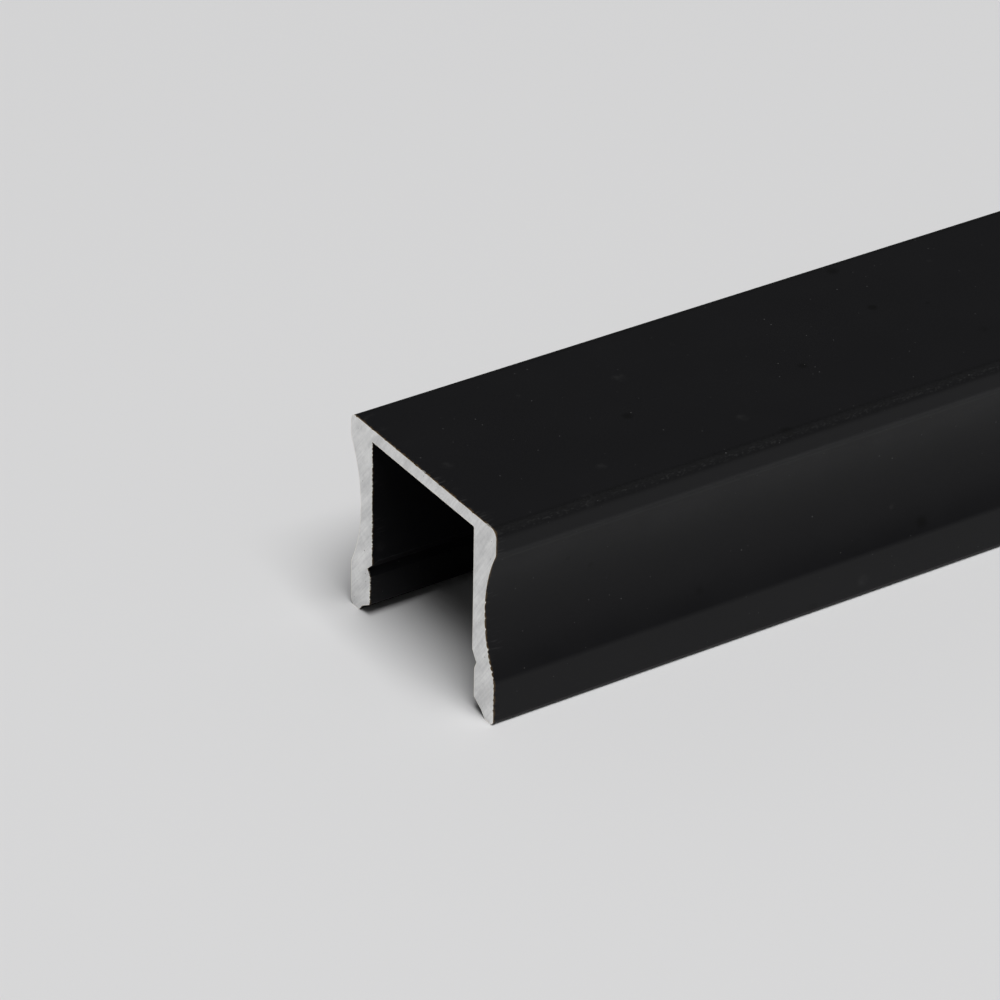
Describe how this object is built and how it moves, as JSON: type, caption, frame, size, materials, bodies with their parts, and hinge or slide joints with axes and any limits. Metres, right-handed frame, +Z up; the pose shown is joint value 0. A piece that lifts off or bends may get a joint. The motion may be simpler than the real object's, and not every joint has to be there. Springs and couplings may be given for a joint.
{
  "type": "aluminium extrusion profile",
  "caption": "Black anodised aluminium U-channel bar with waisted sides and inner grooves for a snap-in cover, sawn square at its ends, for housing a light strip under its web.",
  "frame": {"origin": "on the floor under the middle of the bar, halfway along it and midway between its legs", "axes": "+X along the bar, +Y across it, +Z up from the feet to the back of the web"},
  "size_m": [1, 0.0174, 0.0147],
  "materials": {
    "black_anodised": "satin black anodised, bare where it was sawn"
  },
  "bodies": {
    "root": {"channel_profile": "black_anodised"}
  },
  "joints": []
}
